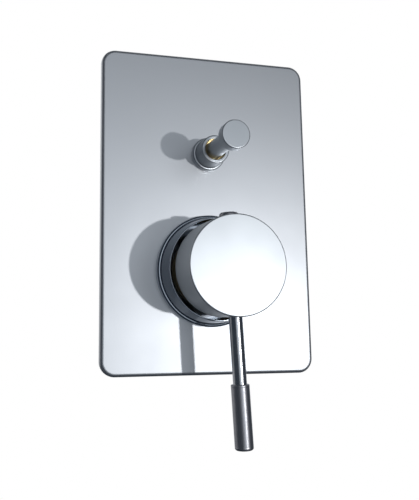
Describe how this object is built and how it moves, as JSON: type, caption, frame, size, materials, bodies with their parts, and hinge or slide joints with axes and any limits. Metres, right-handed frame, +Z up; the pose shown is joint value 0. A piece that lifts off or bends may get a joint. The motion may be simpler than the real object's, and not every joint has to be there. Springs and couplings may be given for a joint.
{
  "type": "concealed bath and shower mixer",
  "caption": "Wall-mounted concealed single-lever mixer with a rounded face plate, a bell collar, a round cap with a rod lever and a pull diverter above it.",
  "frame": {"origin": "centre of the brass body's four fixing holes, on the back of the ears, 34 mm behind the finished wall and level with the middle of the face plate", "axes": "X to the right as seen from the room, +Y into the wall, +Z up"},
  "size_m": [0.135, 0.114, 0.2364],
  "materials": {
    "plate_chrome": "mirror polished",
    "foam": "closed-cell foam",
    "collar_chrome": "polished, dark in the room's reflections",
    "seal_rubber": "moulded nitrile",
    "satin_chrome": "satin",
    "rod_chrome": "polished",
    "grip_satin": "finely turned satin",
    "steel_screw": "plain",
    "cartridge_plastic": "moulded",
    "turret_plastic": "moulded",
    "steel_pin": "ground",
    "stem_brass": "turned and milled",
    "carrier_plastic": "moulded",
    "ceramic": "lapped ceramic",
    "turned_brass": "turned",
    "diverter_chrome": "polished",
    "spring_steel": "drawn stainless wire",
    "cast_brass": "cast, with machined mouths"
  },
  "bodies": {
    "base": {"face_plate": "plate_chrome", "plate_seal": "foam", "bell_collar": "collar_chrome", "bell_o_ring": "seal_rubber", "cartridge_shell": "cartridge_plastic", "fixed_disc": "ceramic", "cartridge_base": "cartridge_plastic", "port_seals": "seal_rubber", "cartridge_nut": "turned_brass", "diverter_collar": "diverter_chrome", "diverter_bonnet": "turned_brass", "spindle_o_rings": "seal_rubber", "diverter_spring": "spring_steel", "diverter_cage": "turret_plastic", "cage_o_rings": "seal_rubber", "valve_body": "cast_brass"},
    "turret": {"cartridge_turret": "turret_plastic", "pivot_pin": "steel_pin"},
    "handle": {"handle_cap": "satin_chrome", "lever_rod": "rod_chrome", "lever_grip": "grip_satin", "screw_plug": "grip_satin", "handle_grub_screw": "steel_screw", "stem_lever": "stem_brass"},
    "slider": {"disc_carrier": "carrier_plastic", "moving_disc": "ceramic"},
    "diverter": {"diverter_knob": "diverter_chrome", "diverter_spindle": "turned_brass", "front_washer": "seal_rubber", "rear_washer": "seal_rubber", "washer_screw": "steel_screw"}
  },
  "joints": [
    {"name": "handle_turn", "type": "hinge", "parent": "base", "child": "turret", "pos_m": [0, -0.059, -0.0375], "axis": [0, -1, 0], "range_deg": [-52.7, 47.3]},
    {"name": "handle_lift", "type": "hinge", "parent": "turret", "child": "handle", "pos_m": [0, -0.059, -0.0375], "axis": [-0.9989, 0, -0.0471], "range_deg": [0, 20]},
    {"name": "disc_slide", "type": "slide", "parent": "turret", "child": "slider", "axis": [-0.0471, 0, 0.9989], "range_m": [-0.0046, 0]},
    {"name": "diverter_pull", "type": "slide", "parent": "base", "child": "diverter", "axis": [0, -1, 0], "range_m": [0, 0.008], "stiffness_N_per_m": 500, "springref_m": -0.008, "deforming": ["diverter_spring"]}
  ],
  "couplings": [
    {"joint": "disc_slide", "follows": "handle_lift", "m_per_rad": -0.013}
  ]
}
